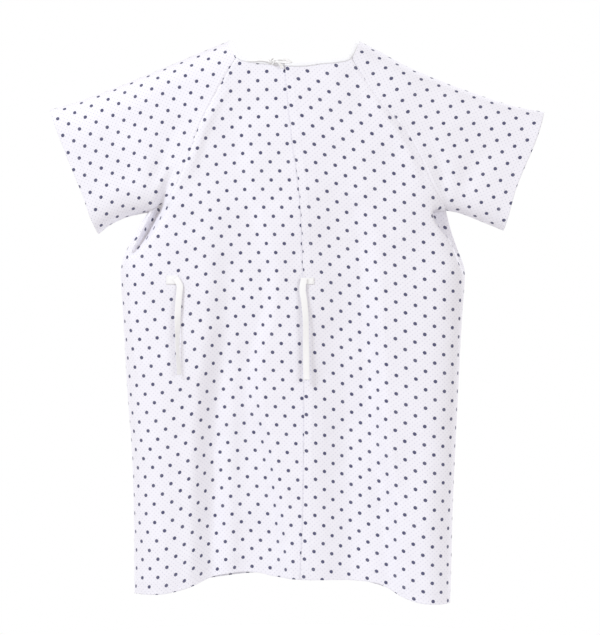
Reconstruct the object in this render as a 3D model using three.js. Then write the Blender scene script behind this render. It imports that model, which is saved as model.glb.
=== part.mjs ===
// A hospital patient gown with raglan sleeves and an overlapping back, hanging open as if worn.
// Millimetres, +Z up. The origin is at the top of the shoulders, midway between the two neck corners.
// The back of the gown faces -Y and its right side is at +X, so its right back panel lies outermost.
import * as THREE from "three";

// Driving dimensions.
const CLOTH = 1.6; // thickness of a cloth shell
const TRIM = 1.0; // thickness of a hem, facing, seam allowance or binding
const UNDER = 2.2; // how far a trim's middle lies inside the middle of the cloth it is sewn to
const SEAM_GAP = 1.0; // between two cloth edges that a seam joins
const HALF_GAP = 0.3; // half the slit between the front and back cloths along a side
const EDGE_RADIUS = 70; // how far in from a fold the gown reaches its full depth
const BACK_DEPTH = 55; // from the shoulder plane to the flat of the back
const FRONT_DEPTH = 66; // and to the flat of the front
const CUFF_DEPTH = 38; // half the depth of a sleeve at its opening
const LIFT = 5; // how far the outer back panel stands off the inner one
const OUTER_EDGE_POINTS = [[-18, -55], [-4, -206], [13, -331], [19, -497], [20, -900], [14, -1120]];
const INNER_EDGE_X = 80; // the free edge of the left, inner back panel, under the outer one
const SPLIT_Z = -356; // below this level the back panels swing, and above it the neck tie holds them
const SLEEVE_FOLD_X = 330; // the sleeves swing beyond this distance from the middle
const SLEEVE_TUCK = 0.13; // the share by which a lower sleeve's inner end is flatter than the upper one
const HEM_DEPTH = 25;
const FACING_WIDTH = 20;
const BINDING_WIDTH = 8;
const SEAM_WIDTH = 9;
const TIE_WIDTH = 13;

// The outline of the gown's right half, seen from behind. The left half mirrors it.
const NECK_TOP = [131, 0];
const NECK_CORNER = [138.2, -3.7];
const CUFF_TOP = [514, -147];
const CUFF_BOTTOM = [434, -397];
const ARMPIT = [303, -354];
const FOLD_TOP = [SLEEVE_FOLD_X, -90];
const FOLD_BOTTOM = [SLEEVE_FOLD_X, -363];
const TOP_LINE = [NECK_TOP, NECK_CORNER, FOLD_TOP, CUFF_TOP];
const UNDER_LINE = [ARMPIT, FOLD_BOTTOM, CUFF_BOTTOM];
const SIDE_POINTS = [ARMPIT, [326, -395], [349, -445], [356, -492], [349, -610], [338, -830], [328, -1170]];

// The seam lines from the neck edge to the armpit, and the height of the neck edge at the middle.
const BACK_RAGLAN_POINTS = [[125, -44], [178, -124], [240, -222], [277, -296], ARMPIT];
const FRONT_RAGLAN_POINTS = [[122, -74], [172, -150], [232, -238], [272, -304], ARMPIT];
const BACK_NECK_Z = -55;
const FRONT_NECK_Z = -120;
const BACK_HEM_Z = -1120;
const FRONT_HEM_Z = -1112;

const BACK = -1;
const FRONT = 1;

const curve2 = (points) => new THREE.SplineCurve(points.map(([x, z]) => new THREE.Vector2(x, z)));
const sideCurve = curve2(SIDE_POINTS);
const raglanCurves = {
  [BACK]: curve2(BACK_RAGLAN_POINTS),
  [FRONT]: curve2(FRONT_RAGLAN_POINTS),
};
const SIDE_LINE = sideCurve.getSpacedPoints(24).map((p) => [p.x, p.y]);

const mix = (a, b, t) => a + (b - a) * t;
const mixPoints = (a, b, t) => [mix(a[0], b[0], t), mix(a[1], b[1], t)];
const clamp01 = (v) => Math.min(1, Math.max(0, v));
const smooth = (lo, hi, v) => {
  const t = clamp01((v - lo) / (hi - lo));
  return t * t * (3 - 2 * t);
};
const easeEnds = (t) => (1 - Math.cos(Math.PI * t)) / 2; // dense at both ends
const easeEnd = (t) => Math.sin((Math.PI / 2) * t); // dense at 1
const at = (curve, t) => {
  const p = curve.getPointAt(clamp01(t));
  return [p.x, p.y];
};

function distanceToLine(x, z, line) {
  let best = Infinity;
  for (let i = 1; i < line.length; i++) {
    const [ax, az] = line[i - 1];
    const [dx, dz] = [line[i][0] - ax, line[i][1] - az];
    const t = clamp01(((x - ax) * dx + (z - az) * dz) / (dx * dx + dz * dz));
    best = Math.min(best, Math.hypot(x - ax - t * dx, z - az - t * dz));
  }
  return best;
}

// How far the cloth stands from the shoulder plane: nothing at a fold, and the full depth well inside it.
function depth(x, z, face) {
  const px = Math.abs(x);
  const inside = Math.min(...[TOP_LINE, UNDER_LINE, SIDE_LINE].map((line) => distanceToLine(px, z, line)));
  const body = face === BACK ? BACK_DEPTH : FRONT_DEPTH;
  const full = mix(body, CUFF_DEPTH, smooth(150, CUFF_TOP[0], px));
  return full * Math.sqrt(1 - (1 - Math.min(inside / EDGE_RADIUS, 1)) ** 2);
}

const onFace = (x, z, face, stand = 0) => new THREE.Vector3(x, face * (depth(x, z, face) + stand), z);

// A closed solid from a grid of points on a surface, thickened along that surface's normals. Its middle
// lies offset along them, and with loop its last column joins its first.
function shell(columns, rows, pointAt, { thickness = CLOTH, offset = 0, loop = false } = {}) {
  const mid = [];
  for (let j = 0; j <= rows; j++) {
    for (let i = 0; i < columns + (loop ? 0 : 1); i++) mid.push(pointAt(i / columns, j / rows));
  }
  const wide = loop ? columns : columns + 1;
  const index = (i, j) => j * wide + (loop ? (i + wide) % wide : i);
  const normal = (i, j) => {
    const [left, right] = loop ? [i - 1, i + 1] : [Math.max(i - 1, 0), Math.min(i + 1, columns)];
    const across = mid[index(right, j)].clone().sub(mid[index(left, j)]);
    const along = mid[index(i, Math.min(j + 1, rows))].clone().sub(mid[index(i, Math.max(j - 1, 0))]);
    return across.cross(along).normalize();
  };
  const positions = [];
  for (const level of [offset + thickness / 2, offset - thickness / 2]) {
    for (let j = 0; j <= rows; j++) {
      for (let i = 0; i < wide; i++) {
        positions.push(...mid[index(i, j)].clone().addScaledVector(normal(i, j), level));
      }
    }
  }
  const faces = [];
  const below = mid.length;
  const quad = (a, b, c, d) => faces.push(a, b, c, a, c, d);
  for (let j = 0; j < rows; j++) {
    for (let i = 0; i < columns; i++) {
      const [a, b, c, d] = [index(i, j), index(i + 1, j), index(i + 1, j + 1), index(i, j + 1)];
      quad(a, b, c, d);
      quad(below + d, below + c, below + b, below + a);
    }
  }
  for (let i = 0; i < columns; i++) {
    quad(index(i + 1, 0), index(i, 0), below + index(i, 0), below + index(i + 1, 0));
    quad(index(i, rows), index(i + 1, rows), below + index(i + 1, rows), below + index(i, rows));
  }
  if (!loop) {
    for (let j = 0; j < rows; j++) {
      quad(index(0, j), index(0, j + 1), below + index(0, j + 1), below + index(0, j));
      const [upper, lower] = [index(columns, j), index(columns, j + 1)];
      quad(lower, upper, below + upper, below + lower);
    }
  }
  const geometry = new THREE.BufferGeometry();
  geometry.setAttribute("position", new THREE.Float32BufferAttribute(positions, 3));
  geometry.setIndex(signedVolume(positions, faces) < 0 ? faces.reverse() : faces);
  geometry.computeVertexNormals();
  return geometry;
}

function signedVolume(positions, faces) {
  const corner = (n) => new THREE.Vector3().fromArray(positions, 3 * faces[n]);
  let volume = 0;
  for (let n = 0; n < faces.length; n += 3) volume += corner(n).dot(corner(n + 1).cross(corner(n + 2)));
  return volume / 6;
}

const printed = new THREE.MeshStandardMaterial({ color: "#f3f3f8", roughness: 0.85, metalness: 0 });
const plain = new THREE.MeshStandardMaterial({ color: "#f7f6f2", roughness: 0.8, metalness: 0 });
const gown = new THREE.Group();

function add(name, geometry, material) {
  const mesh = new THREE.Mesh(geometry, material);
  mesh.name = name;
  gown.add(mesh);
}

// The sleeve's share of the neck edge, from the raglan seam at 0 to the shoulder fold at 1.
const neckEdge = (face, t) => mixPoints(at(raglanCurves[face], 0), NECK_CORNER, t * (2 - t));

// The side of a row of the front or a back panel, from the neck edge at 0 to the hem at 1.
const RAGLAN_ROWS = 8;
const SKIRT_ROWS = 16;
const ARMPIT_SHARE = RAGLAN_ROWS / (RAGLAN_ROWS + SKIRT_ROWS);
const underArm = (t) => clamp01((t - ARMPIT_SHARE) / (1 - ARMPIT_SHARE));
const sideOfRow = (t, face) =>
  t <= ARMPIT_SHARE ? at(raglanCurves[face], t / ARMPIT_SHARE) : at(sideCurve, underArm(t));
// The slit along a raglan seam, wider at the armpit, where the cloth turns steeply.
const slitAt = (t) => (t <= ARMPIT_SHARE ? SEAM_GAP + 2.5 * (t / ARMPIT_SHARE) ** 6 : 0);
const rowZ = (t, neckZ, hemZ) =>
  t <= ARMPIT_SHARE ? mix(neckZ, SPLIT_Z, t / ARMPIT_SHARE) : mix(SPLIT_Z, hemZ, underArm(t));

// Front panel: one cloth from side to side. A column runs from -1 at the left to 1 at the right.
function frontPoint(column, t, stand = HALF_GAP) {
  const side = Math.sign(column) || 1;
  const share = Math.abs(column);
  const [edgeX, edgeZ] = sideOfRow(t, FRONT);
  const z = mix(rowZ(t, FRONT_NECK_Z, FRONT_HEM_Z), edgeZ, share ** 2);
  return onFace(side * share * (edgeX - slitAt(t)), z, FRONT, stand);
}
const acrossFront = (s) => {
  const column = 2 * s - 1;
  return Math.sign(column) * easeEnd(Math.abs(column));
};
const hemShare = 1 - ((1 - ARMPIT_SHARE) * HEM_DEPTH) / (SPLIT_Z - BACK_HEM_Z);
const COLUMNS = 12; // across a back panel, or half the front
add(
  "front_panel",
  shell(2 * COLUMNS, RAGLAN_ROWS + SKIRT_ROWS, (s, t) => frontPoint(acrossFront(s), t)),
  printed,
);
const hemColumns = (COLUMNS - 2) / COLUMNS; // a hem leaves the cloth's last two columns, at the fold, free
add(
  "front_hem",
  shell(
    2 * COLUMNS - 4,
    1,
    (s, t) => frontPoint(acrossFront(0.5 + (s - 0.5) * hemColumns), mix(hemShare, 1, t)),
    { thickness: TRIM, offset: -UNDER },
  ),
  plain,
);

// Back panels: right is +1 and left is -1. The row's inner end is the panel's free edge, which on the
// right, outer panel leans: its points are given above, from the neck edge to the hem.
function outerEdgeX(z) {
  for (let i = 1; i < OUTER_EDGE_POINTS.length; i++) {
    const [[x0, z0], [x1, z1]] = [OUTER_EDGE_POINTS[i - 1], OUTER_EDGE_POINTS[i]];
    if (z >= z1) return mix(x0, x1, clamp01((z - z0) / (z1 - z0)));
  }
  return OUTER_EDGE_POINTS.at(-1)[0];
}
const freeEdge = (side, t) => (side > 0 ? outerEdgeX(rowZ(t, BACK_NECK_Z, BACK_HEM_Z)) : INNER_EDGE_X);
const liftAt = (side, x) => (side > 0 ? LIFT * (1 - smooth(INNER_EDGE_X, INNER_EDGE_X + 50, x)) : 0);

function backPoint(side, share, t, stand = HALF_GAP) {
  const [edgeX, edgeZ] = sideOfRow(t, BACK);
  const reach = edgeX - slitAt(t);
  const x = mix(freeEdge(side, t), side * reach, share);
  const bend = mix(1, 2.4, smooth(0.5, 1, t));
  const z = mix(rowZ(t, BACK_NECK_Z, BACK_HEM_Z), edgeZ, clamp01((x * side) / reach) ** bend);
  return onFace(x, z, BACK, stand + liftAt(side, x));
}

const SLIT_SHARE = 0.001; // keeps the upper and lower cloths of a back panel apart
const LEVELS = [
  { level: "upper", from: 0, to: ARMPIT_SHARE - SLIT_SHARE, rows: RAGLAN_ROWS },
  { level: "lower", from: ARMPIT_SHARE + SLIT_SHARE, to: 1, rows: SKIRT_ROWS },
];
for (const [side, hand] of [[1, "right"], [-1, "left"]]) {
  // The normals of a right panel's grid point the other way from a left one's.
  const inside = { thickness: TRIM, offset: side * UNDER };
  const panelWidth = (t) => Math.abs(side * (sideOfRow(t, BACK)[0] - slitAt(t)) - freeEdge(side, t));
  for (const { level, from, to, rows } of LEVELS) {
    const rowAt = (t) => mix(from, to, t);
    add(
      `${hand}_back_panel_${level}`,
      shell(COLUMNS, rows, (s, t) => backPoint(side, easeEnd(s), rowAt(t))),
      printed,
    );
    const facing = (s, t) => backPoint(side, (s * FACING_WIDTH) / panelWidth(rowAt(t)), rowAt(t));
    add(`${hand}_edge_facing_${level}`, shell(1, rows, facing, inside), plain);
  }
  const hemShareAt = (s) => easeEnd(mix(1 / COLUMNS, hemColumns, s));
  add(
    `${hand}_back_hem`,
    shell(COLUMNS - 3, 1, (s, t) => backPoint(side, hemShareAt(s), mix(hemShare, 1, t)), inside),
    plain,
  );
  // The raglan seam's allowance lies against the panel, clear of the neck binding and of the armpit.
  const seamRows = (t) => mix(1, RAGLAN_ROWS - 1, t) / RAGLAN_ROWS;
  for (const [face, where] of [[BACK, "back"], [FRONT, "front"]]) {
    const seamPoint = (s, t) => {
      const row = seamRows(t) * ARMPIT_SHARE;
      const width = face === BACK ? panelWidth(row) : sideOfRow(row, FRONT)[0];
      const share = 1 - ((1 - s) * SEAM_WIDTH) / width;
      return face === BACK ? backPoint(side, share, row) : frontPoint(side * share, row);
    };
    add(
      `${hand}_${where}_raglan_seam`,
      shell(1, RAGLAN_ROWS - 2, seamPoint, { thickness: TRIM, offset: -face * side * UNDER }),
      plain,
    );
  }
}

// Sleeves: a loop of points round the arm, from the underarm fold up the back, over the top and down
// the front.
const NECK_STEPS = 3;
const HALF_LOOP = RAGLAN_ROWS + NECK_STEPS;
function armEdge(i, face) {
  if (i <= RAGLAN_ROWS) return at(raglanCurves[face], 1 - i / RAGLAN_ROWS);
  return neckEdge(face, (i - RAGLAN_ROWS) / NECK_STEPS);
}
const upTheSleeve = (bottom, top) => (i) => mixPoints(bottom, top, easeEnds(i / HALF_LOOP));
const foldEdge = upTheSleeve(FOLD_BOTTOM, FOLD_TOP);
const cuffEdge = upTheSleeve(CUFF_BOTTOM, CUFF_TOP);
const slit = SEAM_GAP / (CUFF_BOTTOM[0] - SLEEVE_FOLD_X);
const foldEdgeOuter = (i) => mixPoints(foldEdge(i), cuffEdge(i), slit);

const SLEEVE_MIDDLE_Z = (FOLD_TOP[1] + FOLD_BOTTOM[1]) / 2;
function sleevePoint(side, inner, outer, tuck = 0) {
  return (s, t) => {
    const step = Math.round(s * 2 * HALF_LOOP);
    const face = step <= HALF_LOOP ? BACK : FRONT;
    const i = face === BACK ? step : 2 * HALF_LOOP - step;
    const [x, z] = mixPoints(inner(i, face), outer(i, face), t);
    const tucked = tuck * (1 - smooth(0, 0.75, t));
    const point = onFace(side * x, z, face);
    point.y *= 1 - tucked;
    point.z = mix(z, SLEEVE_MIDDLE_Z, tucked / 3);
    return point;
  };
}

// A flat seam allowance that stands inside a fold, between two points of the outline.
function seamFin(side, line, inward, segments, start = 1.3) {
  return shell(
    segments,
    1,
    (s, t) => {
      const [x, z] = line(s);
      const reach = start + t * SEAM_WIDTH;
      return new THREE.Vector3(side * (x + inward[0] * reach), 0, z + inward[1] * reach);
    },
    { thickness: TRIM },
  );
}

for (const [side, hand] of [[1, "right"], [-1, "left"]]) {
  const around = 2 * HALF_LOOP;
  add(
    `${hand}_sleeve_upper`,
    shell(around, 4, sleevePoint(side, armEdge, foldEdge), { loop: true }),
    printed,
  );
  add(
    `${hand}_sleeve_lower`,
    shell(around, 4, sleevePoint(side, foldEdgeOuter, cuffEdge, SLEEVE_TUCK), { loop: true }),
    printed,
  );
  const hemLine = (i) => mixPoints(cuffEdge(i), foldEdge(i), HEM_DEPTH / (CUFF_BOTTOM[0] - SLEEVE_FOLD_X));
  add(
    `${hand}_sleeve_hem`,
    shell(around, 1, sleevePoint(side, hemLine, cuffEdge), {
      loop: true,
      thickness: TRIM,
      offset: side > 0 ? UNDER : -UNDER,
    }),
    plain,
  );
  add(
    `${hand}_underarm_seam`,
    seamFin(side, (s) => mixPoints(FOLD_BOTTOM, CUFF_BOTTOM, mix(0.3, 0.72, s)), [0.31, 0.95], 1, 5),
    plain,
  );
  add(
    `${hand}_side_seam`,
    seamFin(side, (s) => at(sideCurve, mix(0.03, 0.96, s)), [-0.999, 0.02], 12),
    plain,
  );
}

// Neck binding: a tape that carries on from the neck edge, from the inner back edge over both shoulders
// to the outer back edge. A station holds the point of the cloth's edge and that of the tape's own edge.
function neckStations() {
  const stations = [];
  const [seamX, seamZ] = at(raglanCurves[BACK], 0);
  const acrossBack = (side, x) => {
    const z = mix(BACK_NECK_Z, seamZ, clamp01((x * side) / (seamX - SEAM_GAP)));
    stations.push({ x, z, face: BACK, outX: 0, outZ: 1, lift: liftAt(side, x) });
  };
  const overShoulder = (side) => {
    const round = [];
    for (const face of [BACK, FRONT]) {
      for (let i = 0; i <= NECK_STEPS; i++) {
        if (face === FRONT && i === 0) continue;
        const turn = face === BACK ? i / NECK_STEPS : 1 - i / NECK_STEPS;
        const [x, z] = neckEdge(face, turn);
        const [outX, outZ] = mixPoints([-0.35, 0.94], [-0.89, 0.46], turn);
        round.push({ x: side * x, z, face, outX: side * outX, outZ, lift: 0 });
      }
    }
    stations.push(...(side > 0 ? round.reverse() : round));
  };
  for (const x of [INNER_EDGE_X, 40, 0, -40, -80, -112]) acrossBack(-1, x);
  overShoulder(-1);
  for (let i = 1; i < 2 * COLUMNS; i++) {
    const { x, z } = frontPoint(acrossFront(i / (2 * COLUMNS)), 0);
    if (Math.abs(x) < 118) stations.push({ x, z, face: FRONT, outX: -0.003 * x, outZ: 1, lift: 0 });
  }
  overShoulder(1);
  for (const x of [112, 95, INNER_EDGE_X, 50, 20, OUTER_EDGE_POINTS[0][0]]) acrossBack(1, x);
  return stations;
}
const neck = neckStations();
add(
  "neck_binding",
  shell(
    neck.length - 1,
    1,
    (s, t) => {
      const { x, z, face, outX, outZ, lift } = neck[Math.round(s * (neck.length - 1))];
      const reach = mix(1.2, BINDING_WIDTH, t);
      return onFace(x + outX * reach, z + outZ * reach, face, HALF_GAP + lift);
    },
    { thickness: 2.4 },
  ),
  plain,
);

// A flat tape with its top middle at x, z and its back face at y, hanging down and turned about Y.
function tape(name, { x, y, z, length, width, turn = 0, thickness = TRIM }) {
  const geometry = new THREE.BoxGeometry(width, thickness, length);
  geometry.translate(0, 0, -length / 2);
  geometry.rotateY(turn);
  geometry.translate(x, y, z);
  add(name, geometry, plain);
}

// Neck ties: a knot on the back of the neck edge, and the two ends that come out of it.
const NECK_KNOT = { x: -42, y: -BACK_DEPTH - 8.5, z: -43 };
const knot = new THREE.SphereGeometry(1, 16, 10);
knot.scale(8, 5, 7);
knot.translate(NECK_KNOT.x, NECK_KNOT.y, NECK_KNOT.z);
add("neck_tie_knot", knot, plain);
const QUARTER_TURN = Math.PI / 2;
tape("left_neck_tie_end", {
  x: NECK_KNOT.x - 9.5,
  y: NECK_KNOT.y,
  z: NECK_KNOT.z + 1,
  length: 46,
  width: 9,
  turn: QUARTER_TURN * 0.96,
});
tape("right_neck_tie_end", {
  x: NECK_KNOT.x + 9.5,
  y: NECK_KNOT.y,
  z: NECK_KNOT.z + 1,
  length: 36,
  width: 9,
  turn: -QUARTER_TURN * 0.96,
});

// Waist ties: each is stitched flat to its panel and hangs from the end of its stitching.
const WAIST_TACK_Z = -500;
const WAIST_TIES = [
  { hand: "right", tackX: 32, tackWidth: 20, tieX: 21, length: 212, stand: LIFT },
  { hand: "left", tackX: -254, tackWidth: 22, tieX: -239, length: 202, stand: 0 },
];
for (const { hand, tackX, tackWidth, tieX, length, stand } of WAIST_TIES) {
  const face = -BACK_DEPTH - HALF_GAP - stand - CLOTH / 2;
  tape(`${hand}_waist_tie_tack`, {
    x: tackX,
    y: face - 0.3 - TRIM / 2,
    z: WAIST_TACK_Z + TIE_WIDTH / 2,
    length: TIE_WIDTH,
    width: tackWidth,
  });
  tape(`${hand}_waist_tie`, {
    x: tieX,
    y: face - 1.6 - TRIM,
    z: WAIST_TACK_Z + TIE_WIDTH / 2,
    length,
    width: TIE_WIDTH,
    thickness: 1.2,
  });
}

export default gown;
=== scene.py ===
"""A hospital patient gown seen from behind: printed cloth panels, raglan sleeves, binding and ties.

Lengths in this file are millimetres until a mesh is made, which turns them into metres.
x runs to the gown's right, y to its front and z up, with z = 0 at the neck corners.
"""

import math

import bmesh
import bpy
import numpy as np
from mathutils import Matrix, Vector


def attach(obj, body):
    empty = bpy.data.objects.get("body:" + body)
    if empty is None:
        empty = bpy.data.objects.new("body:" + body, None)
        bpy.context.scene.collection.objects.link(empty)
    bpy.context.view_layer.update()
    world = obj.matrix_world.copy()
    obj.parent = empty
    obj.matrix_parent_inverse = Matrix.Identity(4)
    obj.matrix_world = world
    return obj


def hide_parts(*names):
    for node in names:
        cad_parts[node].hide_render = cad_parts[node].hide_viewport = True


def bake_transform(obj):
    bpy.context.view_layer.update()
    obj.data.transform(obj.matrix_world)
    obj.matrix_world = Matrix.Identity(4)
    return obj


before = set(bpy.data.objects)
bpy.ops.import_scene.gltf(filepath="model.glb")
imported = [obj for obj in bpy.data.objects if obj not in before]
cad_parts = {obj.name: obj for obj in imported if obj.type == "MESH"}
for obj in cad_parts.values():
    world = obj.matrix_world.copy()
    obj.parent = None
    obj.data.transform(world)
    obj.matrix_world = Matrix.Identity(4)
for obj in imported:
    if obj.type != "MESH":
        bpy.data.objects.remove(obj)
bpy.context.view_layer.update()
MM = 0.001
BACK, FRONT = -1, 1
RIGHT, LEFT = 1, -1
HAND = {RIGHT: "right", LEFT: "left"}

# Cloth, in millimetres.
CLOTH = 0.9
LINING_GAP = 0.25  # between the cloth and a second layer inside it
HEM_DEPTH = 25.0
STITCH_IN = 2.5  # from a hem's upper edge to its stitches
THREAD_LIFT = 0.08  # from the cloth's face to a row of stitches
BACK_DEPTH, FRONT_DEPTH, CUFF_DEPTH = 55.0, 66.0, 37.0
EDGE_RADIUS = 62.0  # how far inside a fold the cloth reaches its full depth
ROUNDNESS = 2.3  # 2 is a circle, and more is squarer

# Where the raglan seams meet the neck edge on each side, and how far the hem reaches to the left and right.
BACK_CORNER, FRONT_CORNER = (114, -36), (122, -74)
HEM_ENDS = (-331, 324)

# The outline of each half, as seen from behind, with x counted outwards.
TOP = {
    RIGHT: [(131, 0), (179, -24), (232, -53), (285, -76), (338, -97), (444, -133), (519, -149)],
    LEFT: [(131, 0), (216, -35), (327, -81), (385, -104), (453, -129), (506, -144)],
}
UNDER = {
    RIGHT: [(315, -352), (345, -358), (391, -376), (435, -394)],
    LEFT: [(302, -356), (347, -366), (383, -383), (406, -401)],
}
SIDE = {
    RIGHT: [(315, -352), (325, -392), (340, -435), (353, -470), (354, -500), (347, -601), (340, -740),
            (334, -860), (329, -974), (327, -1060), (324, -1166)],
    LEFT: [(302, -356), (322, -389), (347, -435), (358, -465), (359, -500), (353, -595), (346, -720),
           (336, -855), (332, -990), (331, -1146)],
}
BACK_RAGLAN = {
    RIGHT: [BACK_CORNER, (133, -68), (181, -137), (228, -189), (259, -241), (284, -298), (315, -352)],
    LEFT: [BACK_CORNER, (134, -68), (189, -170), (218, -248), (254, -324), (302, -356)],
}
FRONT_RAGLAN = {
    side: [FRONT_CORNER, (172, -150), (232, -238), (272, -304), UNDER[side][0]] for side in (RIGHT, LEFT)
}
CUFF = {
    RIGHT: [(435, -394), (455, -318), (471, -276), (497, -215), (519, -149)],
    LEFT: [(406, -401), (421, -366), (436, -322), (473, -231), (506, -144)],
}

# The neck edges between their corners, the hems, and the outer panel's free edge down its length.
BACK_NECK = [(-108, -40.5), (-97, -44), (-60, -48.5), (0, -53), (33, -51.5), (51, -48.5), (75, -47),
             (100, -44),
             (108, -41.5)]
FRONT_NECK = [(-112, -92), (-84, -111), (-40, -121), (0, -123), (40, -121), (84, -111), (112, -92)]
BACK_HEM = [(-331, -1146), (-282, -1145), (-245, -1139), (-210, -1128), (-165, -1109), (-117, -1101),
            (-75, -1102),
            (-38, -1110), (12, -1114), (71, -1115), (124, -1117), (167, -1122), (193, -1133), (220, -1149),
            (257, -1162), (297, -1166), (324, -1166)]
FRONT_HEM = [(-331, -1146), (-260, -1131), (-170, -1122), (-60, -1112), (40, -1111), (130, -1126),
             (190, -1140),
             (250, -1154), (324, -1166)]
OUTER_EDGE = [(-18, -45), (-16, -90), (-4, -206), (12, -331), (19, -497), (21, -747), (19, -955), (13, -1116)]
INNER_EDGE_X = 80.0
LIFT, LIFT_ENDS = 3.1, (88, 165)  # the outer panel's stand off the inner one, and the x it fades between
EDGE_ROLL, EDGE_ROLL_WIDTH = 0.75, 20.0  # the dip of the outer panel's free edge
HEM_CURL, HEM_CURL_FROM, HEM_CURL_LENGTH = 11.0, -1035.0, 120.0  # the cloth's turn inwards above the hem

# Folds in the cloth: the line each runs along, its half-widths and its heights down that line.
# A height is how far the cloth stands out of its plain shape, so a valley's is negative.
BACK_FOLDS = [
    ([(-246, -262), (-262, -310), (-275, -344), (-293, -381), (-312, -416), (-330, -442)],
     [10, 13, 10, 5], [0, -15, -30, -30, -10]),
    ([(-128, -88), (-178, -174), (-207, -250), (-236, -312)], [10, 12], [0, 4, 5, 0]),
    ([(126, -84), (172, -146), (216, -204), (246, -262), (262, -312)], [10, 13], [0, 4, 6, 6, 0]),
    ([(-118, -560), (-130, -817), (-136, -1160)], [18, 21], [0, 8, 10]),
    ([(142, -640), (152, -860), (166, -1160)], [30, 36], [0, 4, 8]),
    ([(-262, -420), (-268, -800), (-270, -1160)], [24, 30], [0, 3, 6]),
    ([(268, -500), (272, -1160)], [26, 34], [0, 3, 7]),
]
FRONT_FOLDS = [
    ([(-240, -262), (-275, -330), (-305, -395), (-334, -430)], [14, 12, 8], [0, -10, -12, -3]),
    ([(240, -262), (275, -330), (308, -395), (338, -440)], [14, 12, 8], [0, -10, -12, -3]),
    ([(-70, -150), (0, -180), (70, -150)], [26, 26], [0, -5, 0]),
    ([(-190, -420), (-200, -800), (-222, -1150)], [30, 34], [0, -9, -15]),
    ([(-95, -430), (-100, -800), (-112, -1150)], [32, 36], [0, 6, 10]),
    ([(-8, -400), (0, -800), (-6, -1150)], [30, 36], [0, -8, -13]),
    ([(92, -430), (98, -800), (108, -1150)], [32, 36], [0, 6, 10]),
    ([(185, -420), (196, -800), (214, -1150)], [30, 34], [0, -9, -15]),
    ([(275, -560), (285, -1150)], [20, 24], [0, 4, 8]),
    ([(-275, -560), (-285, -1150)], [20, 24], [0, 4, 8]),
]
SLEEVE_FOLDS = [
    ([(-298, -346), (-268, -250), (-222, -150)], [16, 24], [0, -6, -3, 0]),
    ([(-318, -350), (-352, -262), (-392, -180)], [18, 26], [0, -5, -3, 0]),
    ([(312, -346), (300, -262), (262, -170)], [14, 22], [0, -6, -3, 0]),
    ([(330, -352), (372, -262), (420, -190)], [18, 28], [0, -5, -2, 0]),
]
FOLDS = {BACK: BACK_FOLDS + SLEEVE_FOLDS, FRONT: FRONT_FOLDS + SLEEVE_FOLDS}

# Where the front drops from its full depth to a share of it: the line down which it drops, the side that is
# lower, the drop's half-width, and the shares lost down that line.
FRONT_STEPS = [
    ([(-212, -400), (-196, -620), (-206, -860), (-230, -1172)], LEFT, 34, [0, 0.25, 0.38, 0.42]),
    ([(226, -430), (214, -680), (224, -900), (240, -1172)], RIGHT, 34, [0, 0.2, 0.36, 0.4]),
]

# The back's wide valley: its two slopes, the share of depth it loses at each, and the crest along its middle.
# A share is given with how far below the neck corners it holds.
VALLEY_LEFT = [(-150, -380), (-152, -468), (-158, -584), (-164, -641), (-173, -701), (-186, -817),
               (-189, -992), (-194, -1172)]
VALLEY_LEFT_SLOPE, VALLEY_RIGHT_SLOPE = 27, 23  # half-widths
VALLEY_RIGHT = [(128, -320), (152, -420), (162, -584), (171, -701), (176, -817), (198, -955), (220, -1172)]
LOST_LEFT = [(200, 0), (300, 0.04), (400, 0.08), (468, 0.14), (584, 0.28), (701, 0.47), (817, 0.54),
             (1172, 0.56)]
LOST_RIGHT = [(200, 0), (320, 0.08), (420, 0.24), (584, 0.4), (701, 0.5), (817, 0.53), (1172, 0.54)]
LOST_MIDDLE = (-70, 110)  # the x between which the left share gives way to the right one
CREST_LEFT = [(-104, -120), (-98, -293), (-79, -351), (-64, -410), (-48, -468), (-52, -560), (-78, -660),
              (-80, -740), (-62, -817), (-46, -892), (-34, -970), (-22, -1060), (-14, -1172)]
CREST_RIGHT = [(40, -120), (58, -351), (66, -584), (72, -817), (84, -1172)]
CREST_LEFT_SLOPE, CREST_RIGHT_SLOPE = 17, 46
CREST_SHARE = [(130, 0), (293, 0.09), (351, 0.14), (468, 0.19), (600, 0.25), (740, 0.36), (860, 0.42),
               (1172, 0.44)]

# Below the right underarm the cloth is tucked in, from this line out to the side, by those shares of depth.
TUCK = [(290, -346), (287, -366), (302, -390), (319, -411), (334, -444), (352, -490)]
TUCK_TOP = -353.0
TUCK_SHARE = [(346, 0.9), (430, 0.86), (470, 0.5), (492, 0)]

# How far the print's rows stand above or below level across the back, at the neck and at the hem.
PRINT_ROWS = {
    LEFT: ([(-331, -23), (-245, -15), (-190, -9.5), (-130, -5.5), (-70, -2.5), (0, -1), (80, 0)],
           [(-331, -43), (-306, -42), (-275, -39), (-245, -34), (-215, -24), (-185, -12), (-160, -6),
             (-130, -3),
            (-102, 0), (-75, -2), (-45, -4), (-15, -6), (80, -10)]),
    RIGHT: ([(-20, 4), (15, 0), (100, -10.5), (190, -21), (320, -38)],
            [(-20, 2), (15, 0), (60, -7), (102, -14), (145, -23), (190, -34), (235, -44), (270, -51),
              (320, -54)]),
}


def smooth(low, high, value):
    t = np.clip((value - low) / (high - low), 0, 1)
    return t * t * (3 - 2 * t)


def mix(a, b, t):
    return a + (b - a) * t


def unit(vectors):
    return vectors / np.maximum(np.linalg.norm(vectors, axis=-1, keepdims=True), 1e-9)


def reach_of(line):
    """How far along a line each of its points is."""
    return np.concatenate([[0], np.cumsum(np.linalg.norm(np.diff(line, axis=0), axis=1))])


def sample(line, reach, at):
    """The points of a line at those values of its reach."""
    return np.stack([np.interp(at, reach, line[:, k]) for k in range(line.shape[1])], axis=-1)


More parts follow.
